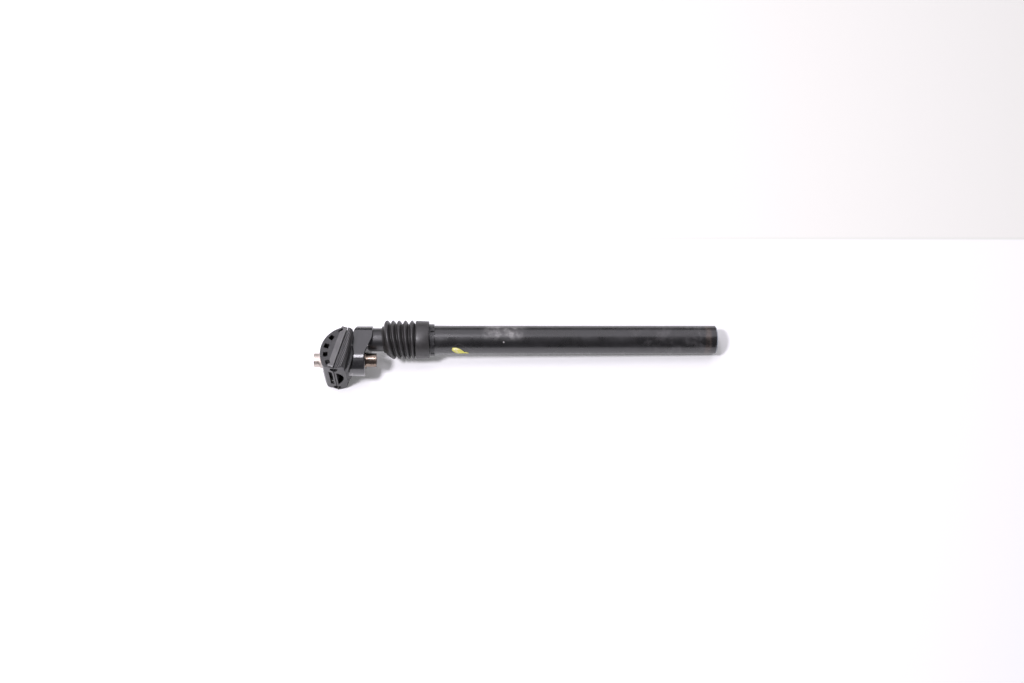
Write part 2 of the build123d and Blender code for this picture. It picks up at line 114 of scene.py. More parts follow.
@dataclass(frozen=True)
class PostFrame:
    """The post's own directions in the frame, read from its two joints."""

    along: Vector
    rear: Vector
    side: Vector
    tilt_centre: Vector

    @classmethod
    def from_joints(cls, joints: list[dict]) -> PostFrame:
        """Reads the directions from the slide and from the clamp's hinge.

        Args:
            joints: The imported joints.

        Returns:
            The post's frame.
        """
        named = {joint["name"]: joint for joint in joints}
        along = -Vector(named["post_travel"]["axis"]).normalized()
        hinge = Vector(named["clamp_tilt"]["axis"]).normalized()
        rear = hinge.cross(along).normalized()
        return cls(along, rear, along.cross(rear), Vector(named["clamp_tilt"]["pos_m"]))

    def matrix(self) -> Matrix:
        """Gives the turn from post coordinates into the frame."""
        return Matrix((self.rear, self.side, self.along)).transposed().to_4x4()

    def point(self, rear: float, side: float, along: float) -> Vector:
        """Finds a point's place in the frame, all in metres.

        Args:
            rear: How far it lies towards the rear.
            side: How far to the side.
            along: How far along the tube.

        Returns:
            The place.
        """
        return self.rear * rear + self.side * side + self.along * along

    def span(self, node: bpy.types.Object) -> Pair:
        """Measures a node along the post, from its lowest to its highest place, in metres."""
        places = [vertex.co.dot(self.along) for vertex in node.data.vertices]
        return min(places), max(places)

    def reach(self, node: bpy.types.Object) -> float:
        """Measures a node's largest distance from the post's axis, in metres."""
        return max(
            (vertex.co - self.along * vertex.co.dot(self.along)).length for vertex in node.data.vertices
        )


class Recipe:
    """A node material in the making, with short calls for the nodes that the finishes share."""

    def __init__(self, name: str, post: PostFrame) -> None:
        """Starts a material with one shader.

        Args:
            name: The material's name.
            post: The post's frame, for patterns that follow the tube.
        """
        self.post = post
        self.material = bpy.data.materials.new(name)
        self.material.use_nodes = True
        self.nodes = self.material.node_tree.nodes
        self.nodes.clear()
        self.shader = self.nodes.new("ShaderNodeBsdfPrincipled")
        output = self.nodes.new("ShaderNodeOutputMaterial")
        self.feed(output.inputs["Surface"], self.shader.outputs["BSDF"])
        self.place = self.nodes.new("ShaderNodeTexCoord").outputs["Object"]

    def feed(self, entry: Socket, value: Value) -> None:
        """Links a socket to an entry, or sets the entry to a constant."""
        if isinstance(value, Socket):
            self.material.node_tree.links.new(value, entry)
        else:
            entry.default_value = value

    def set(self, **values: Value) -> None:
        """Sets the shader's entries.

        Args:
            values: Sockets or constants, named like the entries with underscores for spaces.
        """
        for name, value in values.items():
            self.feed(self.shader.inputs[name.replace("_", " ")], value)

    def maths(self, operation: str, first: Value, second: Value = 0.0) -> Socket:
        """Works out one Math node from one or two values."""
        node = self.nodes.new("ShaderNodeMath")
        node.operation = operation
        self.feed(node.inputs[0], first)
        self.feed(node.inputs[1], second)
        return node.outputs[0]

    def level(self, direction: Vector) -> Socket:
        """Measures the place along a direction.

        Args:
            direction: A unit vector.

        Returns:
            The distance from the frame's origin, in millimetres.
        """
        node = self.nodes.new("ShaderNodeVectorMath")
        node.operation = "DOT_PRODUCT"
        self.feed(node.inputs[0], self.place)
        node.inputs[1].default_value = direction / MM
        return node.outputs["Value"]

    def turn(self) -> Socket:
        """Measures the angle round the post from the rear, in radians."""
        return self.maths("ARCTAN2", self.level(self.post.side), self.level(self.post.rear))

    def stretched(self, across: float, along: float) -> Socket:
        """Scales post coordinates apart, for streaks.

        Args:
            across: Scale of the two directions across the post.
            along: Scale along the post.

        Returns:
            The scaled place.
        """
        node = self.nodes.new("ShaderNodeCombineXYZ")
        for entry, direction, scale in zip(
            node.inputs, (self.post.rear, self.post.side, self.post.along), (across, across, along)
        ):
            self.feed(entry, self.maths("MULTIPLY", self.level(direction), scale))
        return node.outputs[0]

    def noise(
        self, scale: float, detail: float = 4.0, roughness: float = 0.6, place: Socket | None = None
    ) -> Socket:
        """Adds cloudy noise between 0 and 1.

        Args:
            scale: Lumps for each metre, or for each unit of the given place.
            detail: Octaves.
            roughness: Weight of the fine octaves.
            place: Where to read it, the object's own coordinates by default.

        Returns:
            The noise.
        """
        node = self.nodes.new("ShaderNodeTexNoise")
        node.inputs["Scale"].default_value = scale
        node.inputs["Detail"].default_value = detail
        node.inputs["Roughness"].default_value = roughness
        self.feed(node.inputs["Vector"], place or self.place)
        return node.outputs["Fac"]

    def band(self, value: Value, low: float, high: float, start: float = 0.0, end: float = 1.0) -> Socket:
        """Steps smoothly between two amounts.

        Args:
            value: What is stepped.
            low: Value at which the step begins.
            high: Value at which it is done.
            start: Amount before the step.
            end: Amount after it.

        Returns:
            The amount.
        """
        node = self.nodes.new("ShaderNodeMapRange")
        node.interpolation_type = "SMOOTHSTEP"
        for entry, amount in zip(node.inputs, (value, low, high, start, end)):
            self.feed(entry, amount)
        return node.outputs["Result"]

    def hump(self, value: Value, centre: float, half: float) -> Socket:
        """Marks a stretch of a value.

        Args:
            value: What is marked.
            centre: Middle of the stretch.
            half: Half of its width.

        Returns:
            One at the centre, falling to nothing on both sides.
        """
        offset = self.maths("ABSOLUTE", self.maths("SUBTRACT", value, centre))
        return self.band(offset, half, half * HUMP_CORE)

    def spot(self, centre: Vector, radius_mm: float) -> Socket:
        """Marks a ball.

        Args:
            centre: Its middle, in the frame.
            radius_mm: Its radius.

        Returns:
            One at the centre, falling to nothing at the radius.
        """
        node = self.nodes.new("ShaderNodeVectorMath")
        node.operation = "DISTANCE"
        self.feed(node.inputs[0], self.place)
        node.inputs[1].default_value = centre
        return self.band(node.outputs["Value"], radius_mm * MM, radius_mm * MM * SPOT_CORE)

    def product(self, *shares: Value) -> Socket:
        """Multiplies shares together."""
        result = shares[0]
        for share in shares[1:]:
            result = self.maths("MULTIPLY", result, share)
        return result

    def mix(self, share: Value, first: Socket | Colour, second: Socket | Colour) -> Socket:
        """Mixes two colours.

        Args:
            share: How much of the second shows.
            first: The colour below.
            second: The colour above.

        Returns:
            The mixed colour.
        """
        node = self.nodes.new("ShaderNodeMix")
        node.data_type = "RGBA"
        self.feed(node.inputs["Factor"], share)
        colours = [entry for entry in node.inputs if entry.type == "RGBA"]
        for entry, colour in zip(colours, (first, second)):
            self.feed(entry, colour if isinstance(colour, Socket) else (*colour, 1.0))
        return next(out for out in node.outputs if out.type == "RGBA")

    def bump(self, height: Value, distance_mm: float, strength: float = 1.0) -> None:
        """Adds a relief to the shader's normal.

        Args:
            height: Relief between 0 and 1.
            distance_mm: How high a relief of 1 stands.
            strength: Share of the relief that shows.
        """
        node = self.nodes.new("ShaderNodeBump")
        node.inputs["Strength"].default_value = strength
        node.inputs["Distance"].default_value = distance_mm * MM
        self.feed(node.inputs["Height"], height)
        normal = self.shader.inputs["Normal"]
        if normal.is_linked:
            self.feed(node.inputs["Normal"], normal.links[0].from_socket)
        self.feed(normal, node.outputs["Normal"])


@dataclass(frozen=True)
class TubePaint:
    """Satin black paint on the outer tube, scuffed, with the ghost of a torn sticker's edge."""

    colour: Colour = (0.007, 0.0069, 0.0073)
    worn: Colour = (0.060, 0.058, 0.059)
    scuff: Colour = (0.34, 0.33, 0.32)
    dust: Colour = (0.16, 0.10, 0.065)
    bare: Colour = (0.26, 0.30, 0.35)
    cloud_gain: float = 1.5
    roughness: Pair = (0.25, 0.36)
    specular: float = 1.0
    scratch_fade_mm: Pair = (120.0, 10.0)
    scratch_share: float = 0.8
    scuff_along_mm: float = 203.0
    scuff_half_mm: float = 24.0
    scuff_turn: float = 1.95
    scuff_half_turn: float = 1.0
    scuff_share: float = 0.8
    scuff_roughness: float = 0.2
    foot_fade_mm: Pair = (120.0, 15.0)
    foot_share: float = 0.9
    dust_along_mm: float = 8.0
    dust_half_mm: float = 4.0
    dust_share: float = 0.3
    nick_mm: Place = (7.4, 11.4, 203.5)
    nick_radius_mm: float = 1.1
    ghost_mm: Pair = (246.0, 4.0)
    ghost_size_mm: Pair = (14.0, 8.0)
    ghost_half: float = 0.12
    ghost_share: float = 0.35
    rim_mm: float = 0.15

    def material(self, post: PostFrame, radius_mm: float) -> bpy.types.Material:
        """Makes the paint.

        Args:
            post: The post's frame.
            radius_mm: The tube's radius.

        Returns:
            The material.
        """
        mix = Recipe("tube_paint", post)
        along, turn = mix.level(post.along), mix.turn()
        clouds = mix.noise(scale=60.0, detail=5.0)
        patches = mix.noise(scale=140.0, detail=5.0, roughness=0.62)
        stains = mix.noise(scale=110.0, detail=5.0, roughness=0.65)
        specks = mix.noise(scale=900.0, detail=2.0, roughness=0.5)
        lengthwise = mix.stretched(across=1.6, along=0.05)
        streaks = mix.noise(scale=1.0, detail=6.0, roughness=0.7, place=lengthwise)
        cloudy = tuple(channel * self.cloud_gain for channel in self.colour)
        base = mix.mix(mix.band(clouds, 0.35, 0.75), self.colour, cloudy)
        scratch = mix.product(
            mix.band(streaks, 0.60, 0.78), mix.band(along, *self.scratch_fade_mm, start=0.25, end=1.0)
        )
        base = mix.mix(mix.product(scratch, self.scratch_share), base, self.worn)
        rubbed = mix.product(
            mix.hump(along, self.scuff_along_mm, self.scuff_half_mm),
            mix.hump(turn, self.scuff_turn, self.scuff_half_turn),
            mix.band(patches, 0.36, 0.74, start=0.16, end=1.0),
        )
        base = mix.mix(mix.product(rubbed, self.scuff_share), base, self.scuff)
        foot = mix.product(mix.band(along, *self.foot_fade_mm), mix.band(stains, 0.42, 0.70))
        base = mix.mix(mix.product(foot, self.foot_share), base, self.worn)
        ring = mix.product(mix.hump(along, self.dust_along_mm, self.dust_half_mm), mix.band(clouds, 0.3, 0.6))
        base = mix.mix(mix.product(ring, self.dust_share), base, self.dust)
        nick = mix.spot(post.point(*(c * MM for c in self.nick_mm)), self.nick_radius_mm)
        base = mix.mix(nick, base, self.scuff)
        arc = mix.maths("MULTIPLY", turn, radius_mm)
        offset = [
            mix.maths("DIVIDE", mix.maths("ABSOLUTE", mix.maths("SUBTRACT", value, centre)), size)
            for value, centre, size in zip((along, arc), self.ghost_mm, self.ghost_size_mm)
        ]
        ghost = mix.hump(mix.maths("ADD", *offset), 1.0, self.ghost_half)
        base = mix.mix(mix.product(ghost, self.ghost_share), base, self.worn)
        base = mix.mix(mix.band(along, self.rim_mm, -self.rim_mm), base, self.bare)
        gloss = mix.maths(
            "ADD", mix.band(clouds, 0.3, 0.8, *self.roughness), mix.product(rubbed, self.scuff_roughness)
        )
        mix.set(Base_Color=base, Roughness=gloss, IOR=1.5, Specular_IOR_Level=self.specular)
        mix.bump(specks, distance_mm=0.03, strength=0.35)
        mix.bump(streaks, distance_mm=0.05, strength=0.25)
        return mix.material


@dataclass(frozen=True)
class ShaftCoat:
    """Satin black anodised shaft, with fine turning marks and rubbed lines along its travel."""

    colour: Colour = (0.012, 0.012, 0.0125)
    rubbed: Colour = (0.050, 0.048, 0.046)
    rubbed_share: float = 0.5
    roughness: Pair = (0.30, 0.42)
    specular: float = 0.9

    def material(self, post: PostFrame) -> bpy.types.Material:
        """Makes the coat.

        Args:
            post: The post's frame.

        Returns:
            The material.
        """
        mix = Recipe("shaft_coat", post)
        turned = mix.stretched(across=0.02, along=6.0)
        lengthwise = mix.stretched(across=2.4, along=0.03)
        rings = mix.noise(scale=1.0, detail=3.0, roughness=0.6, place=turned)
        lines = mix.noise(scale=1.0, detail=5.0, roughness=0.7, place=lengthwise)
        streaks = mix.product(mix.band(lines, 0.55, 0.8), self.rubbed_share)
        mix.set(Base_Color=mix.mix(streaks, self.colour, self.rubbed))
        mix.set(Roughness=mix.band(rings, 0.3, 0.7, *self.roughness), Specular_IOR_Level=self.specular)
        mix.bump(rings, distance_mm=0.02, strength=0.5)
        return mix.material


@dataclass(frozen=True)
class HeadGloss:
    """Gloss black paint on the forged head, with grainy pale grey spots at listed places along its rims."""

    colour: Colour = (0.012, 0.012, 0.013)
    # Pale grey of the spots along the rims.
    spot_grey: Colour = (0.36, 0.35, 0.34)
    haze: Colour = (0.040, 0.040, 0.041)
    haze_share: float = 0.7
    roughness: Pair = (0.18, 0.26)
    specular: float = 0.8
    coat_roughness: float = 0.16
    pale_spots_mm: tuple[tuple[float, float, float, float], ...] = (
        (23.0, 14.8, 345.0, 2.2), (33.6, 8.0, 349.0, 1.8), (35.6, 2.0, 346.0, 1.5),
        (35.2, -5.0, 340.0, 1.7), (12.0, 14.0, 331.5, 1.1),
    )

    def material(self, post: PostFrame) -> bpy.types.Material:
        """Makes the paint.

        Args:
            post: The post's frame.

        Returns:
            The material.
        """
        mix = Recipe("head_gloss", post)
        clouds = mix.noise(scale=70.0, detail=5.0)
        grit = mix.noise(scale=420.0, detail=5.0, roughness=0.75)
        peel = mix.noise(scale=600.0, detail=2.0, roughness=0.4)
        base = mix.mix(mix.product(mix.band(clouds, 0.5, 0.8), self.haze_share), self.colour, self.haze)
        # Grainy pale grey spots at the listed places along the rims.
        for rear, side, along, radius in self.pale_spots_mm:
            near = mix.spot(post.point(rear * MM, side * MM, along * MM), radius)
            base = mix.mix(mix.band(mix.product(near, grit), 0.36, 0.46), base, self.spot_grey)
        mix.set(Base_Color=base, Roughness=mix.band(clouds, 0.3, 0.8, *self.roughness))
        mix.set(Specular_IOR_Level=self.specular)
        mix.set(Coat_Weight=1.0, Coat_Roughness=self.coat_roughness, Coat_IOR=1.5)
        mix.bump(peel, distance_mm=0.03, strength=0.3)
        return mix.material


@dataclass(frozen=True)
class ClampCast:
    """Satin black paint over cast alloy, with a fine sandy grain and edges rubbed pale."""

    colour: Colour = (0.014, 0.014, 0.0145)
    dusty: Colour = (0.070, 0.068, 0.066)
    rubbed: Colour = (0.13, 0.127, 0.125)
    cloud_share: float = 0.5
    pit_share: float = 0.4
    roughness: Pair = (0.32, 0.46)
    specular: float = 0.6
    rail_tilt_deg: float = 16.7
    rail_drop_mm: float = 12.3
    lip_mm: Pair = (0.4, 5.6)
    lip_side_mm: float = 26.0
    lip_edge_mm: float = 0.1
    lip_side_edge_mm: float = 0.2

    def rails(self, post: PostFrame) -> tuple[Vector, Vector]:
        """Finds how the saddle rails lie.

        Args:
            post: The post's frame.

        Returns:
            Directions along the rails and up from them.
        """
        tilt = math.radians(self.rail_tilt_deg)
        return (
            post.rear * math.cos(tilt) + post.along * math.sin(tilt),
            post.along * math.cos(tilt) - post.rear * math.sin(tilt),
        )

    def material(self, post: PostFrame) -> bpy.types.Material:
        """Makes the paint.

        Args:
            post: The post's frame.

        Returns:
            The material.
        """
        mix = Recipe("clamp_cast", post)
        _, upward = self.rails(post)
        foot_mm = post.tilt_centre.dot(upward) / MM - self.rail_drop_mm
        height = mix.maths("SUBTRACT", mix.level(upward), foot_mm)
        aside = mix.maths("ABSOLUTE", mix.level(post.side))
        clouds = mix.noise(scale=90.0, detail=5.0, roughness=0.65)
        sand = mix.noise(scale=1100.0, detail=3.0, roughness=0.6)
        pits = mix.noise(scale=380.0, detail=4.0, roughness=0.7)
        base = mix.mix(mix.product(mix.band(clouds, 0.42, 0.75), self.cloud_share), self.colour, self.dusty)
        base = mix.mix(mix.product(mix.band(pits, 0.66, 0.78), self.pit_share), base, self.dusty)
        low, high = self.lip_mm
        flank, soft = self.lip_side_mm, self.lip_side_edge_mm
        lip = mix.product(
            mix.band(height, low - self.lip_edge_mm, low + self.lip_edge_mm),
            mix.band(height, high + self.lip_edge_mm, high - self.lip_edge_mm),
            mix.band(aside, flank - soft, flank + soft),
        )
        worn = mix.band(clouds, 0.2, 0.6, start=0.35, end=0.8)
        base = mix.mix(mix.product(lip, worn), base, self.rubbed)
        mix.set(Base_Color=base, Roughness=mix.band(clouds, 0.3, 0.75, *self.roughness))
        mix.set(Specular_IOR_Level=self.specular)
        mix.bump(sand, distance_mm=0.05, strength=0.5)
        return mix.material


@dataclass(frozen=True)
class RibCast:
    """Cast alloy of the cheeks, with a painted highlight in cloudy patches along the crests of its ribs."""

    colour: Colour = (0.010, 0.010, 0.0105)
    # Pale colour of the painted highlight on the rib crests.
    rubbed: Colour = (0.10, 0.097, 0.095)
    crest: Pair = (-0.2, -1.0)
    roughness: Pair = (0.36, 0.48)
    specular: float = 0.65

    def material(self, post: PostFrame, across: Vector, start: Vector, pitch_mm: float) -> bpy.types.Material:
        """Makes the finish.

        Args:
            post: The post's frame.
            across: Direction from rib to rib.
            start: A point at the foot of a rib.
            pitch_mm: Distance from rib to rib.

        Returns:
            The material.
        """
        mix = Recipe("rib_cast", post)
        run = mix.maths("SUBTRACT", mix.level(across), start.dot(across) / MM)
        wave = mix.maths("COSINE", mix.maths("MULTIPLY", run, math.tau / pitch_mm))
        clouds = mix.noise(scale=260.0, detail=5.0, roughness=0.7)
        sand = mix.noise(scale=1100.0, detail=3.0, roughness=0.6)
        # Painted highlight: the rib crests take the pale colour in cloudy patches, which also set the
        # roughness.
        worn = mix.band(clouds, 0.30, 0.60, start=0.35, end=1.0)
        mix.set(Base_Color=mix.mix(mix.product(mix.band(wave, *self.crest), worn), self.colour, self.rubbed))
        mix.set(Roughness=mix.band(worn, 0.3, 1.0, *self.roughness), Specular_IOR_Level=self.specular)
        mix.bump(sand, distance_mm=0.05, strength=0.5)
        return mix.material


@dataclass(frozen=True)
class BootRubber:
    """Dark moulded rubber with painted shade darkening its folds in patches, and dust on them."""

    colour: Colour = (0.028, 0.0265, 0.026)
    # Colour of the painted shade in the folds.
    fold_shade: Colour = (0.010, 0.0085, 0.0075)
    dust: Colour = (0.080, 0.074, 0.070)
    dust_share: float = 0.35
    # How far under the crests the painted shade begins.
    unshaded_mm: float = 0.5
    roughness: Pair = (0.40, 0.54)
    specular: float = 0.75

    def material(self, post: PostFrame, root_mm: float, crest_mm: float) -> bpy.types.Material:
        """Makes the rubber.

        Args:
            post: The post's frame.
            root_mm: Radius at the bottom of a fold.
            crest_mm: Radius at the top of a fold.

        Returns:
            The material.
        """
        mix = Recipe("boot_rubber", post)
        squares = [mix.maths("POWER", mix.level(way), 2.0) for way in (post.rear, post.side)]
        radius = mix.maths("SQRT", mix.maths("ADD", *squares))
        # Painted shade: the folds darken, in cloudy patches, from just under their crests down to their
        # roots.
        deep = mix.band(radius, crest_mm - self.unshaded_mm, root_mm)
        clouds = mix.noise(scale=140.0, detail=6.0, roughness=0.7)
        grain = mix.noise(scale=1400.0, detail=2.0, roughness=0.5)
        shaded = mix.product(deep, mix.band(clouds, 0.2, 0.6, start=0.6, end=1.0))
        base = mix.mix(shaded, self.colour, self.fold_shade)
        base = mix.mix(mix.product(mix.band(clouds, 0.55, 0.8), self.dust_share), base, self.dust)
        mix.set(Base_Color=base, Roughness=mix.band(clouds, 0.3, 0.75, *self.roughness))
        mix.set(Specular_IOR_Level=self.specular)
        mix.bump(grain, distance_mm=0.04, strength=0.4)
        return mix.material


@dataclass(frozen=True)
class Plain:
    """A finish of one base colour with cloudy wear, for small metal, plastic and rubber pieces."""

    name: str
    colour: Colour
    worn: Colour
    roughness: Pair
    metallic: float = 0.0
    grain_per_m: float = 700.0
    relief_mm: float = 0.02
    wear: Pair = (0.45, 0.75)

    def material(self, post: PostFrame) -> bpy.types.Material:
        """Makes the finish.

        Args:
            post: The post's frame.

        Returns:
            The material.
        """
        mix = Recipe(self.name, post)
        clouds = mix.noise(scale=240.0, detail=5.0, roughness=0.65)
        grain = mix.noise(scale=self.grain_per_m, detail=3.0)
        base = mix.mix(mix.band(clouds, *self.wear), self.colour, self.worn)
        mix.set(Base_Color=base, Metallic=self.metallic)
        mix.set(Roughness=mix.band(grain, 0.3, 0.7, *self.roughness))
        mix.bump(grain, distance_mm=self.relief_mm, strength=0.4)
        return mix.material


NUT_BLACK = Plain("nut_black", (0.016, 0.016, 0.017), (0.07, 0.07, 0.07), (0.26, 0.40))
ZINC_YELLOW = Plain("zinc_yellow", (0.27, 0.215, 0.175), (0.08, 0.060, 0.048), (0.14, 0.28), 1.0)
ZINC_PALE = Plain("zinc_pale", (0.60, 0.54, 0.49), (0.44, 0.37, 0.32), (0.36, 0.52), 1.0)
SPRING_STEEL = Plain("spring_steel", (0.20, 0.20, 0.21), (0.10, 0.085, 0.07), (0.26, 0.42), 1.0)
GUIDE_PLASTIC = Plain("guide_plastic", (0.030, 0.030, 0.031), (0.060, 0.058, 0.055), (0.38, 0.52))
AMBER_CORE = Plain("amber_core", (0.42, 0.25, 0.05), (0.30, 0.17, 0.04), (0.42, 0.55))
SEAL_RUBBER = Plain("seal_rubber", (0.018, 0.018, 0.018), (0.045, 0.042, 0.040), (0.50, 0.62))
STICKER_PAPER = Plain(
    "sticker_paper", (0.78, 0.74, 0.15), (0.86, 0.80, 0.58), (0.45, 0.60), wear=(0.50, 0.66)
)


def finished_object(
    name: str, mesh: bmesh.types.BMesh, post: PostFrame, material: bpy.types.Material
) -> bpy.types.Object:
    """Turns a piece from post coordinates into the frame and puts it in the scene.

    Args:
        name: The piece's name.
        mesh: Its shape, which is freed.
        post: The post's frame.
        material: Its finish.

    Returns:
        The object, at the origin.
    """
    mesh.transform(post.matrix())
    bmesh.ops.recalc_face_normals(mesh, faces=mesh.faces[:])
    if mesh.calc_volume(signed=True) < 0.0:
        bmesh.ops.reverse_faces(mesh, faces=mesh.faces[:])
    data = bpy.data.meshes.new(name)
    mesh.to_mesh(data)
    mesh.free()
    data.polygons.foreach_set("use_smooth", [True] * len(data.polygons))
    data.materials.append(material)
    piece = bpy.data.objects.new(name, data)
    bpy.context.scene.collection.objects.link(piece)
    LOG.info("built %s", name)
    return piece


@dataclass
class SubAssembly:
    """Pieces that share the post's frame and are dressed together."""

    post: PostFrame
    nodes: dict[str, bpy.types.Object]

    def dress(self, material: bpy.types.Material, *names: str) -> None:
        """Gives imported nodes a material.

        Args:
            material: The material.
            names: The nodes.
        """
        for name in names:
            node = self.nodes[name]
            if not node.material_slots:
                node.data.materials.append(material)
            for slot in node.material_slots:
                slot.material = material
            LOG.info("dressed %s with %s", name, material.name)


@dataclass
class TubeAssembly(SubAssembly):
    """Outer tube with its collar nut, wiper seal and a torn scrap of a sticker."""

    scrap_along_mm: float = 246.4
    scrap_turn_deg: float = 14.0
    scrap_thickness_mm: float = 0.12
    scrap_curl_mm: float = 0.35
    scrap_flat_mm: float = 6.5
    scrap_curl_power: int = 6
    scrap_strip_mm: float = 0.8
    scrap_outline_mm: tuple[Pair, ...] = (
        (5.0, 4.8), (1.6, 4.5), (-0.8, 3.4), (-3.0, 2.0), (-4.4, 0.4),
        (-5.6, -1.1), (-8.2, -2.2), (-10.4, -3.4), (-6.4, -3.9), (-3.0, -4.3),
        (0.4, -4.7), (2.4, -3.1), (4.2, -0.9), (5.8, 1.0), (6.1, 3.0),
    )

    def build(self) -> None:
        """Dresses the tube's pieces and adds the scrap."""
        radius = self.post.reach(self.nodes["outer_tube"])
        self.dress(TubePaint().material(self.post, radius / MM), "outer_tube")
        self.dress(NUT_BLACK.material(self.post), "collar_nut")
        self.dress(SEAL_RUBBER.material(self.post), "wiper_seal")
        self.sticker_scrap(radius)

    def sticker_scrap(self, radius: float) -> None:
        """Adds the torn scrap, wrapped on the tube.

        Args:
            radius: The tube's radius.
        """
        scrap = bmesh.new()
        corners = [scrap.verts.new((along * MM, arc * MM, 0.0)) for along, arc in self.scrap_outline_mm]
        scrap.faces.new(corners)
        strips = int(max(abs(arc) for _, arc in self.scrap_outline_mm) / self.scrap_strip_mm)
        for step in range(-strips, strips + 1):
            bmesh.ops.bisect_plane(
                scrap,
                geom=scrap.verts[:] + scrap.edges[:] + scrap.faces[:],
                plane_co=(0.0, step * self.scrap_strip_mm * MM, 0.0),
                plane_no=(0.0, 1.0, 0.0),
            )
        bmesh.ops.triangulate(scrap, faces=scrap.faces[:])
        bmesh.ops.recalc_face_normals(scrap, faces=scrap.faces[:])
        bmesh.ops.solidify(scrap, geom=scrap.faces[:], thickness=self.scrap_thickness_mm * MM)
        lowest = min(vertex.co.z for vertex in scrap.verts)
        for vertex in scrap.verts:
            along, arc, height = vertex.co
            edge = min(1.0, math.hypot(along, arc) / (self.scrap_flat_mm * MM)) ** self.scrap_curl_power
            lift = height - lowest + self.scrap_curl_mm * MM * edge * max(0.0, math.sin(along / MM))
            turn = math.radians(self.scrap_turn_deg) + arc / radius
            vertex.co = (
                (radius + lift) * math.cos(turn),
                (radius + lift) * math.sin(turn),
                self.scrap_along_mm * MM + along,
            )
        piece = finished_object("sticker_scrap", scrap, self.post, STICKER_PAPER.material(self.post))
        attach(piece, Body.TUBE.value)


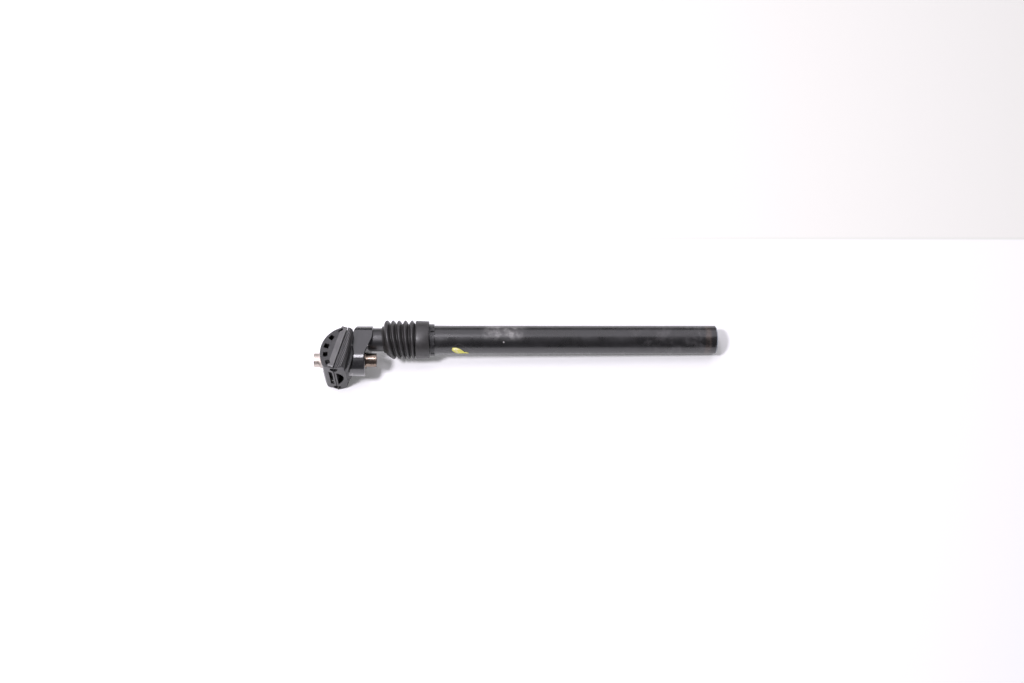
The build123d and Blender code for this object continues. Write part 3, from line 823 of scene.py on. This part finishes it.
@dataclass
class Boot(SubAssembly):
    """Rubber boot: a cuff on the collar nut, slanted folds and a lip on the shaft."""

    cuff_height_mm: float = 13.0
    cuff_wall_mm: float = 2.6
    cuff_flare_mm: float = 0.45
    cuff_round_mm: float = 0.7
    cuff_foot: tuple[Pair, ...] = ((1.0, 0.0), (0.3, 0.3), (0.0, 1.0))
    cuff_shoulder: tuple[Pair, ...] = ((0.0, 2.0), (0.4, 0.6))
    cuff_end: float = 0.1
    cuff_ceiling_mm: float = 0.9
    fold_count: int = 5
    fold_depth_mm: float = 4.0
    fold_wall_mm: float = 1.2
    crest_round: float = 0.42
    end_share: float = 0.95
    points_per_fold: int = 12
    lip_height_mm: float = 2.2
    lip_wall_mm: float = 1.6
    lip_foot_mm: float = 0.2
    lip_round_mm: float = 0.4
    grip_mm: float = 0.1
    slant_deg: float = 12.4
    slant_turn_deg: float = 57.0
    lip_slant_deg: float = 6.3
    slant_share: float = 0.83
    spokes: int = 128

    def __post_init__(self) -> None:
        """Reads the boot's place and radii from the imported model."""
        bottom, top = self.post.span(self.nodes["boot"])
        self.bottom_mm, self.top_mm = bottom / MM, top / MM
        self.crest_mm = self.post.reach(self.nodes["boot"]) / MM
        self.root_mm = self.crest_mm - self.fold_depth_mm
        self.shaft_mm = self.post.reach(self.nodes["inner_shaft"]) / MM
        self.nut_mm = self.post.reach(self.nodes["collar_nut"]) / MM
        self.cuff_mm = self.nut_mm + self.grip_mm + self.cuff_wall_mm
        self.cuff_top_mm = self.bottom_mm + self.cuff_height_mm
        self.folds_top_mm = self.top_mm - self.lip_height_mm

    def fold_radius(self, phase: float, root: float, crest: float) -> float:
        """Radius on a fold whose root is a sharp valley and whose crest is rounded.

        Args:
            phase: Place on the fold, 0 and 1 at its valleys.
            root: Radius at the valley.
            crest: Radius at the crest.

        Returns:
            The radius.
        """
        steep = math.hypot(1.0, self.crest_round) - self.crest_round
        height = math.hypot(1.0, self.crest_round) - math.hypot(2.0 * phase - 1.0, self.crest_round)
        return root + (crest - root) * height / steep

    def wall(self, inset: float) -> list[Pair]:
        """Folded wall from the cuff to the lip, as (radius, along) points.

        Args:
            inset: How far the wall lies inside the outer surface.

        Returns:
            The points.
        """
        last_crest = self.fold_count - 0.5
        pitch = (self.folds_top_mm - self.cuff_top_mm) / (last_crest + self.end_share)
        points = []
        for step in range(self.fold_count * self.points_per_fold + 1):
            folds = step / self.points_per_fold
            radius = self.fold_radius(folds % 1.0, self.root_mm - inset, self.crest_mm - inset)
            fall = max(0.0, folds - last_crest) * (1.0 - 2.0 * self.end_share)
            points.append((radius, self.cuff_top_mm + pitch * (folds - fall)))
        return points

    def section(self) -> list[Pair]:
        """Draws the boot's section, whose cuff is rounded by shares of its edge.

        Returns:
            A closed line of (radius, along) points.
        """
        inner, edge = self.nut_mm + self.grip_mm, self.cuff_round_mm
        grip = self.shaft_mm + self.grip_mm
        lip, flare = grip + self.lip_wall_mm, self.cuff_mm + self.cuff_flare_mm
        cuff = [
            (inner, self.bottom_mm),
            *((self.cuff_mm - edge * back, self.bottom_mm + edge * up) for back, up in self.cuff_foot),
            *((flare - edge * back, self.cuff_top_mm - edge * down) for back, down in self.cuff_shoulder),
            (self.cuff_mm - edge, self.cuff_top_mm - edge * self.cuff_end),
        ]
        lips = [
            (lip, self.folds_top_mm + self.lip_foot_mm),
            (lip, self.top_mm - self.lip_round_mm),
            (lip - self.lip_round_mm, self.top_mm),
            (grip, self.top_mm),
        ]
        inside = [(grip, self.folds_top_mm - self.fold_wall_mm), *reversed(self.wall(self.fold_wall_mm))]
        ceiling = (inner, self.cuff_top_mm - self.cuff_ceiling_mm)
        return [*cuff, *self.wall(0.0), *lips, *inside, ceiling]

    def slant(self, along_mm: float) -> float:
        """Finds how much a fold leans.

        Args:
            along_mm: Its place along the post.

        Returns:
            The tangent of its lean.
        """
        share = (along_mm - self.cuff_top_mm) / (self.folds_top_mm - self.cuff_top_mm)
        share = min(1.0, max(0.0, share))
        short = 1.0 - min(1.0, share / self.slant_share)
        fall = max(0.0, share - self.slant_share) / (1.0 - self.slant_share)
        lean = self.slant_deg * (1.0 - short**2) + (self.lip_slant_deg - self.slant_deg) * fall**2
        return math.tan(math.radians(lean))

    def build(self) -> None:
        """Spins the section and leans the folds."""
        boot = bmesh.new()
        ring = [boot.verts.new((radius * MM, 0.0, along * MM)) for radius, along in self.section()]
        for start, end in zip(ring, ring[1:] + ring[:1]):
            boot.edges.new((start, end))
        bmesh.ops.spin(
            boot,
            geom=boot.verts[:] + boot.edges[:],
            cent=(0.0, 0.0, 0.0),
            axis=(0.0, 0.0, 1.0),
            angle=math.tau,
            steps=self.spokes,
            use_merge=True,
        )
        bmesh.ops.remove_doubles(boot, verts=boot.verts[:], dist=MERGE_M)
        turn = math.radians(self.slant_turn_deg)
        for vertex in boot.verts:
            rear, side, along = vertex.co
            vertex.co.z += (side * math.sin(turn) - rear * math.cos(turn)) * self.slant(along / MM)
        rubber = BootRubber().material(self.post, self.root_mm, self.crest_mm)
        piece = finished_object("rubber_boot", boot, self.post, rubber)
        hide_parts("boot")
        self.post.point(0.0, 0.0, self.cuff_top_mm * MM)
        self.post.point(0.0, 0.0, self.folds_top_mm * MM)
        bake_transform(piece)


@dataclass
class SpringPack(SubAssembly):
    """Coil spring, guides and plug inside the tube."""

    wire_mm: float = 3.0
    turns: int = 11
    wire_sides: int = 14
    steps_per_turn: int = 40

    def build(self) -> None:
        """Dresses the pieces inside the tube and winds the spring."""
        guides = ("upper_bushing", "preload_plug", "spring_seat", "lower_guide", "spring_cap")
        self.dress(GUIDE_PLASTIC.material(self.post), *guides)
        steel = SPRING_STEEL.material(self.post)
        self.dress(steel, "guide_keys")
        self.dress(AMBER_CORE.material(self.post), "elastomer_core")
        self.coil(steel)

    def coil(self, steel: bpy.types.Material) -> None:
        """Winds a spring between its seat on the tube and its cap on the shaft.

        Args:
            steel: The wire's finish.
        """
        node = self.nodes["main_spring"]
        bottom, top = self.post.span(node)
        wire = self.wire_mm * MM / 2
        radius = self.post.reach(node) - wire
        foot = min((vertex.co for vertex in node.data.vertices), key=lambda place: place.dot(self.post.along))
        turn = math.atan2(foot.dot(self.post.side), foot.dot(self.post.rear))
        steps = self.turns * self.steps_per_turn
        spring = bmesh.new()
        bmesh.ops.create_circle(
            spring,
            cap_ends=True,
            segments=self.wire_sides,
            radius=wire,
            matrix=Matrix.Rotation(turn, 4, "Z")
            @ Matrix.Translation((radius, 0.0, bottom + wire))
            @ Matrix.Rotation(math.pi / 2, 4, "X"),
        )
        bmesh.ops.spin(
            spring,
            geom=spring.faces[:],
            cent=(0.0, 0.0, 0.0),
            axis=(0.0, 0.0, 1.0),
            dvec=(0.0, 0.0, (top - bottom - 2 * wire) / steps),
            angle=self.turns * math.tau,
            steps=steps,
        )
        piece = finished_object("coil_spring", spring, self.post, steel)
        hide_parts("main_spring")
        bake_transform(piece)


@dataclass
class HeadAssembly(SubAssembly):
    """Inner shaft, forged head, saddle clamp and the bolt that holds it."""

    def build(self) -> None:
        """Dresses the pieces that carry the saddle."""
        self.dress(ShaftCoat().material(self.post), "inner_shaft")
        self.dress(HeadGloss().material(self.post), "head")
        self.dress(ClampCast().material(self.post), "upper_clamp", "lower_clamp")
        self.dress(ZINC_YELLOW.material(self.post), "clamp_bolt", "bolt_washer")
        self.dress(ZINC_PALE.material(self.post), "clamp_nut", "saddle_washer")


@dataclass
class CheekRibs(SubAssembly):
    """Fine slanted ribs cast on both cheeks of the lower clamp."""

    pitch_mm: float = 1.8
    height_mm: float = 0.40
    sunk_mm: float = 0.12
    bed_mm: float = 0.02
    thickness_mm: float = 0.3
    reach_mm: float = 26.0
    grid_steps: tuple[int, int] = (230, 80)
    start_mm: float = 60.0
    inner_side_mm: float = 20.0
    lip_mm: float = 1.0
    facing: Pair = (0.55, 0.85)

    def __post_init__(self) -> None:
        """Finds the rails' foot and the ribs' directions."""
        onward, self.upward = ClampCast().rails(self.post)
        self.across = (onward + self.upward).normalized()
        self.down = (onward - self.upward).normalized()
        self.foot = self.post.tilt_centre - self.upward * (ClampCast().rail_drop_mm + self.lip_mm) * MM

    def build(self) -> None:
        """Lays a ribbed skin on each cheek."""
        clamp = self.nodes["lower_clamp"].data
        surface = BVHTree.FromPolygons(
            [vertex.co for vertex in clamp.vertices], [face.vertices[:] for face in clamp.polygons]
        )
        ribs = bmesh.new()
        for side in (self.post.side, -self.post.side):
            self.cheek(ribs, surface, side)
        bmesh.ops.recalc_face_normals(ribs, faces=ribs.faces[:])
        bmesh.ops.solidify(ribs, geom=ribs.faces[:], thickness=self.thickness_mm * MM)
        ribs.transform(self.post.matrix().inverted())
        cast = RibCast().material(self.post, self.across, self.foot, self.pitch_mm)
        piece = finished_object("cheek_ribs", ribs, self.post, cast)
        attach(piece, Body.CLAMP.value)

    def cheek(self, ribs: bmesh.types.BMesh, surface: BVHTree, side: Vector) -> None:
        """Drops a fine grid on one cheek and lifts it in ribs.

        Args:
            ribs: The mesh that takes the skin.
            surface: The lower clamp.
            side: The way that the cheek faces.
        """
        grid = bmesh.ops.create_grid(
            ribs, x_segments=self.grid_steps[0], y_segments=self.grid_steps[1], size=self.reach_mm * MM
        )["verts"]
        missed = []
        for vertex in grid:
            run, fall, _ = vertex.co
            start = self.foot + self.across * run + self.down * fall + side * self.start_mm * MM
            hit, normal, *_ = surface.ray_cast(start, -side)
            depth = 0.0 if hit is None else (self.foot - hit).dot(self.upward) / MM
            if depth <= 0.0 or hit.dot(side) < self.inner_side_mm * MM:
                missed.append(vertex)
                continue
            low, high = self.facing
            share = min(1.0, max(0.0, (normal.dot(side) - low) / (high - low)))
            share *= min(1.0, depth)
            wave = 0.5 - 0.5 * math.cos(math.tau * run / (self.pitch_mm * MM))
            lift = share * self.height_mm * wave - (1.0 - share) * self.sunk_mm
            vertex.co = hit + normal * (lift - self.bed_mm) * MM
        bmesh.ops.delete(ribs, geom=missed, context="VERTS")
        loose = [vertex for vertex in ribs.verts if not vertex.link_faces]
        bmesh.ops.delete(ribs, geom=loose, context="VERTS")


@dataclass(frozen=True)
class Softbox:
    """A rectangular lamp that faces the post, with its first side along it."""

    name: str
    place_m: Place
    size_m: Pair
    power_w: float

    def hang(self, target: Vector, tint: Colour) -> None:
        """Puts the lamp in the scene.

        Args:
            target: The point that its place is measured from.
            tint: The colour of its light.
        """
        lamp = bpy.data.lights.new(self.name, "AREA")
        lamp.shape = "RECTANGLE"
        lamp.size, lamp.size_y = self.size_m
        lamp.energy = self.power_w
        lamp.color = tint
        _, back, up = self.place_m
        holder = bpy.data.objects.new(self.name, lamp)
        holder.location = target + Vector(self.place_m)
        holder.rotation_euler = (math.atan2(-back, up), 0.0, 0.0)
        bpy.context.scene.collection.objects.link(holder)


LAMPS = (
    Softbox("overhead", place_m=(-0.2, 0.75, 1.15), size_m=(2.6, 1.7), power_w=14.8),
    Softbox("key", place_m=(-0.80, -0.42, 1.70), size_m=(0.30, 0.30), power_w=31.0),
    Softbox("glint", place_m=(-0.22, 0.20, 1.66), size_m=(0.14, 0.56), power_w=3.4),
)


@dataclass
class Studio:
    """Pale floor, soft lamps and the camera."""

    floor_z: float
    floor_half_m: float = 8.0
    line_m: float = 0.1155
    line_width_m: float = 0.0025
    floor_colour: Colour = (0.90, 0.90, 0.90)
    line_colour: Colour = (0.74, 0.75, 0.70)
    wall_colour: Colour = (0.800, 0.795, 0.752)
    glow: float = 0.16
    world_level: float = 0.13
    light_tint: Colour = (1.0, 0.965, 1.05)
    fade_m: Pair = (0.75, 1.6)
    paper_roughness: float = 0.9
    target_m: Place = (-0.194898, 0.001662, 0.0)
    azimuth_deg: float = -1.015
    elevation_deg: float = 66.0
    distance_m: float = 1.251245
    focal_px: float = 1300.0
    image_px: float = 1024.0
    sensor_mm: float = 36.0

    def build(self) -> None:
        """Sets up everything that isn't part of the post."""
        scene = bpy.context.scene
        scene.view_settings.view_transform = "Standard"
        self.world()
        self.floor()
        for lamp in LAMPS:
            lamp.hang(Vector(self.target_m), self.light_tint)
        self.camera()

    def world(self) -> None:
        """Fills the room with an even grey light."""
        world = bpy.data.worlds.new("room")
        world.use_nodes = True
        backdrop = world.node_tree.nodes["Background"]
        backdrop.inputs["Color"].default_value = (*self.light_tint, 1.0)
        backdrop.inputs["Strength"].default_value = self.world_level
        bpy.context.scene.world = world

    def floor(self) -> None:
        """Lays one sheet of paper whose far part is a little greyer, behind a thin line."""
        sheet = bmesh.new()
        bmesh.ops.create_grid(sheet, x_segments=1, y_segments=1, size=self.floor_half_m)
        bmesh.ops.translate(sheet, verts=sheet.verts[:], vec=(0.0, 0.0, self.floor_z))
        data = bpy.data.meshes.new("floor")
        sheet.to_mesh(data)
        sheet.free()
        floor = bpy.data.objects.new("floor", data)
        bpy.context.scene.collection.objects.link(floor)
        data.materials.append(self.paper())
        floor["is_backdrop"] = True

    def paper(self) -> bpy.types.Material:
        """Makes the floor's material.

        Returns:
            A matt paper that the camera, mirrors and glass see a little brighter than its lamps make it, and
            white far away.
        """
        material = bpy.data.materials.new("floor_paper")
        material.use_nodes = True
        tree = material.node_tree
        shader = tree.nodes["Principled BSDF"]
        place = tree.nodes.new("ShaderNodeTexCoord").outputs["Object"]
        tint = self.sheet_tint(tree, place)
        tree.links.new(tint, shader.inputs["Base Color"])
        tree.links.new(tint, shader.inputs["Emission Color"])
        tree.links.new(self.sheet_glow(tree, place), shader.inputs["Emission Strength"])
        shader.inputs["Roughness"].default_value = self.paper_roughness
        shader.inputs["Specular IOR Level"].default_value = 0.0
        return material

    def sheet_tint(self, tree: bpy.types.NodeTree, place: Socket) -> Socket:
        """Colours the sheet, with a thin line across it and a greyer part behind.

        Args:
            tree: The material's nodes.
            place: The place on the sheet.

        Returns:
            The colour.
        """
        azimuth = math.radians(self.azimuth_deg)
        away = tree.nodes.new("ShaderNodeVectorMath")
        away.operation = "DOT_PRODUCT"
        away.inputs[1].default_value = (-math.sin(azimuth), math.cos(azimuth), 0.0)
        tree.links.new(place, away.inputs[0])
        behind_m = self.line_m + self.line_width_m
        tinted = None
        for edge, colour in ((self.line_m, self.line_colour), (behind_m, self.wall_colour)):
            step = tree.nodes.new("ShaderNodeMapRange")
            step.inputs["From Min"].default_value = edge
            step.inputs["From Max"].default_value = edge + self.line_width_m
            tint = tree.nodes.new("ShaderNodeMix")
            tint.data_type = "RGBA"
            first, second = (entry for entry in tint.inputs if entry.type == "RGBA")
            first.default_value, second.default_value = (*self.floor_colour, 1.0), (*colour, 1.0)
            tree.links.new(away.outputs["Value"], step.inputs["Value"])
            tree.links.new(step.outputs["Result"], tint.inputs["Factor"])
            if tinted is not None:
                tree.links.new(tinted, first)
            tinted = next(out for out in tint.outputs if out.type == "RGBA")
        return tinted

    def sheet_glow(self, tree: bpy.types.NodeTree, place: Socket) -> Socket:
        """Brightens the sheet for the rays that see it, and not for the light that it throws back.

        Args:
            tree: The material's nodes.
            place: The place on the sheet.

        Returns:
            The strength, which rises to one far from the post.
        """
        reach = tree.nodes.new("ShaderNodeVectorMath")
        reach.operation = "DISTANCE"
        reach.inputs[1].default_value = self.target_m
        tree.links.new(place, reach.inputs[0])
        fade = tree.nodes.new("ShaderNodeMapRange")
        fade.inputs["From Min"].default_value, fade.inputs["From Max"].default_value = self.fade_m
        fade.inputs["To Min"].default_value = self.glow
        tree.links.new(reach.outputs["Value"], fade.inputs["Value"])
        rays = tree.nodes.new("ShaderNodeLightPath")
        seen = rays.outputs["Is Camera Ray"]
        for ray in ("Is Glossy Ray", "Is Transmission Ray"):
            either = tree.nodes.new("ShaderNodeMath")
            either.operation = "MAXIMUM"
            tree.links.new(seen, either.inputs[0])
            tree.links.new(rays.outputs[ray], either.inputs[1])
            seen = either.outputs[0]
        glow = tree.nodes.new("ShaderNodeMath")
        glow.operation = "MULTIPLY"
        tree.links.new(seen, glow.inputs[0])
        tree.links.new(fade.outputs["Result"], glow.inputs[1])
        return glow.outputs[0]

    def camera(self) -> None:
        """Stands the camera where the photograph was taken."""
        azimuth, elevation = math.radians(self.azimuth_deg), math.radians(self.elevation_deg)
        level = math.cos(elevation)
        back = Vector((math.sin(azimuth) * level, -math.cos(azimuth) * level, math.sin(elevation)))
        lens = bpy.data.cameras.new("camera")
        lens.sensor_fit = "HORIZONTAL"
        lens.sensor_width = self.sensor_mm
        lens.lens = self.focal_px / self.image_px * self.sensor_mm
        holder = bpy.data.objects.new("camera", lens)
        holder.location = Vector(self.target_m) + back * self.distance_m
        holder.rotation_mode = "QUATERNION"
        holder.rotation_quaternion = (-back).to_track_quat("-Z", "Y")
        bpy.context.scene.collection.objects.link(holder)
        bpy.context.scene.camera = holder


def main() -> None:
    """Builds the seatpost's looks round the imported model."""
    logging.basicConfig(level=logging.INFO, format="%(name)s: %(message)s")
    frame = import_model()
    cad_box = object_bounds()
    post = PostFrame.from_joints(frame["joints"])
    for assembly in (TubeAssembly, Boot, SpringPack, HeadAssembly, CheekRibs):
        assembly(post, frame["nodes"]).build()
    Studio(floor_z=cad_box[0].z).build()


if __name__ == "__main__":
    main()
